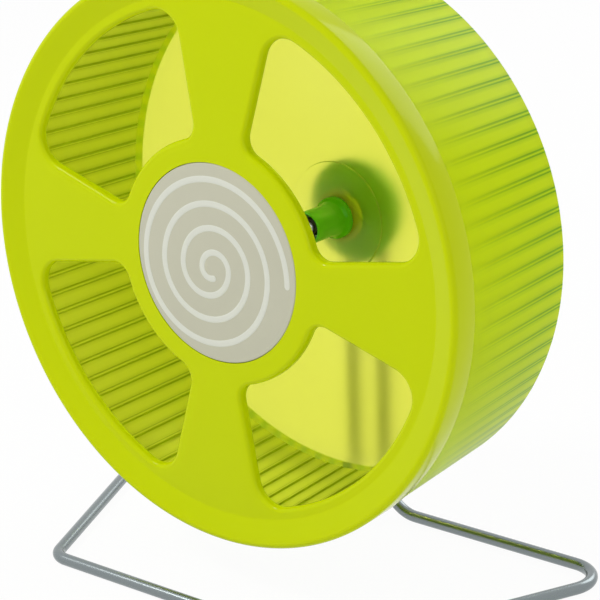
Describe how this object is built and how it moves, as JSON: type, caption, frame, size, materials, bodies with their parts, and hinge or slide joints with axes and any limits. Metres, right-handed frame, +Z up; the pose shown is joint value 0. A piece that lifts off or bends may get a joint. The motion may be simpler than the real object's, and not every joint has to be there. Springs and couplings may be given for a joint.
{
  "type": "rodent_exercise_wheel",
  "caption": "Rodent exercise wheel: ribbed translucent lime drum and open spoked front ring, turning on ball bearings on a bent wire stand",
  "frame": {"origin": "on the floor, at the middle of the space that the whole object covers", "axes": "+Z up, +Y from the open front of the wheel to the posts behind it, +X to the right seen from the front"},
  "size_m": [0.2892, 0.1552, 0.3055],
  "materials": {
    "lime_translucent": "clear tinted, smooth outside, ribbed inside",
    "lime_opaque": "glossy moulded",
    "grey_plastic": "satin moulded",
    "pale_plastic": "satin",
    "green_plastic": "glossy moulded",
    "grey_coating": "satin powder coating",
    "zinc_steel": "zinc plated",
    "bearing_steel": "ground",
    "cage_nylon": "natural"
  },
  "bodies": {
    "stand": {"stand_wire": "grey_coating", "head_front": "green_plastic", "head_cover": "green_plastic", "head_screws": "zinc_steel", "axle_bolt": "zinc_steel", "axle_nut": "zinc_steel", "nut_washer": "zinc_steel", "bearing_spacer": "zinc_steel", "front_bearing_inner_ring": "bearing_steel", "rear_bearing_inner_ring": "bearing_steel"},
    "wheel": {"drum": "lime_translucent", "front_ring": "lime_opaque", "centre_disc": "grey_plastic", "spiral_inlay": "pale_plastic", "hub_sleeve": "green_plastic", "hub_lock_ring": "green_plastic", "front_bearing_outer_ring": "bearing_steel", "front_bearing_shields": "bearing_steel", "rear_bearing_outer_ring": "bearing_steel", "rear_bearing_shields": "bearing_steel"},
    "front_ball_set": {"front_bearing_cage": "cage_nylon", "front_bearing_balls": "bearing_steel"},
    "rear_ball_set": {"rear_bearing_cage": "cage_nylon", "rear_bearing_balls": "bearing_steel"}
  },
  "joints": [
    {"name": "wheel_spin", "type": "hinge", "parent": "stand", "child": "wheel", "pos_m": [0, 0, 0.1655], "axis": [0, 1, 0], "continuous": true},
    {"name": "front_balls_turn", "type": "hinge", "parent": "stand", "child": "front_ball_set", "pos_m": [0, 0, 0.1655], "axis": [0, 1, 0], "continuous": true},
    {"name": "rear_balls_turn", "type": "hinge", "parent": "stand", "child": "rear_ball_set", "pos_m": [0, 0, 0.1655], "axis": [0, 1, 0], "continuous": true}
  ],
  "couplings": [
    {"joint": "front_balls_turn", "follows": "wheel_spin", "ratio": 0.6263},
    {"joint": "rear_balls_turn", "follows": "wheel_spin", "ratio": 0.6263}
  ]
}
